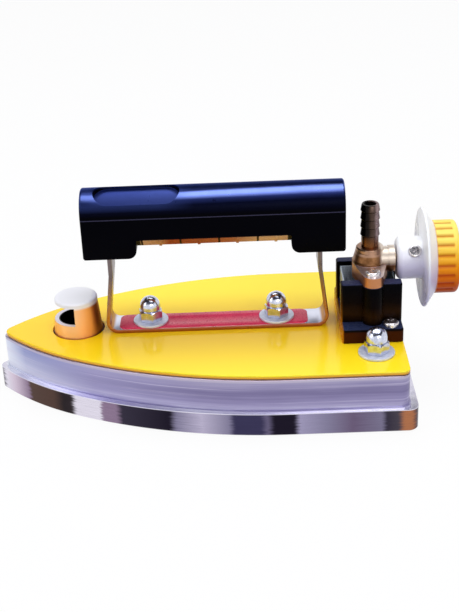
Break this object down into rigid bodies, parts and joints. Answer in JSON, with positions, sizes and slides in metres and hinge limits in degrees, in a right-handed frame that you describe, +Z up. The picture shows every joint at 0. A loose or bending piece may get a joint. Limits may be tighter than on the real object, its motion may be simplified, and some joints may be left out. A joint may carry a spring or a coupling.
{
  "type": "pressing iron",
  "caption": "Heavy pressing iron heated by gas: boat-shaped sole, burner chamber with a vent, strap-mounted moulded handle and a gas cock with hose nipple and ribbed knob.",
  "frame": {"origin": "in the ironing face, midway between the tip and the heel of the sole, on its centreline", "axes": "+X towards the heel and the gas cock, -X towards the tip, +Z up, -Y towards the side with the thumb recess"},
  "size_m": [0.2758, 0.1392, 0.1276],
  "materials": {
    "plated_sole": "mirror",
    "cast_aluminium": "satin",
    "mineral_sheet": "matte",
    "yellow_enamel": "gloss",
    "steel": "satin",
    "bright_steel": "bright",
    "red_plate": "gloss",
    "black_moulding": "gloss",
    "brass": "satin",
    "gauze": "woven",
    "white_plastic": "gloss",
    "orange_plastic": "gloss",
    "seal_rubber": "matte"
  },
  "bodies": {
    "iron": {"sole_plate": "plated_sole", "burner_chamber": "cast_aluminium", "insulation_sheet": "mineral_sheet", "cover_plate": "yellow_enamel", "chimney": "cast_aluminium", "centre_studs": "steel", "corner_studs": "steel", "washers": "bright_steel", "cap_nuts": "bright_steel", "handle_bracket": "steel", "nameplate": "red_plate", "handle": "black_moulding", "handle_inserts": "brass", "handle_screws": "steel", "valve_holder": "black_moulding", "air_gauze": "gauze", "holder_screws": "bright_steel", "holder_nuts": "steel", "ear_screws": "bright_steel", "valve_body": "brass", "injector": "brass", "hose_nipple": "brass", "gland_nut": "brass", "burner": "steel", "mixer_tube": "brass", "burner_screws": "steel", "chimney_screw": "steel"},
    "knob": {"knob_base": "white_plastic", "knob_screw": "bright_steel", "knob_grip": "orange_plastic", "valve_plug": "brass", "spindle_seal": "seal_rubber", "plug_spring": "steel"}
  },
  "joints": [
    {"name": "knob_turn", "type": "hinge", "parent": "iron", "child": "knob", "pos_m": [0.1016, -0.0025, 0.0782], "axis": [1, 0, 0], "range_deg": [0, 90]}
  ]
}
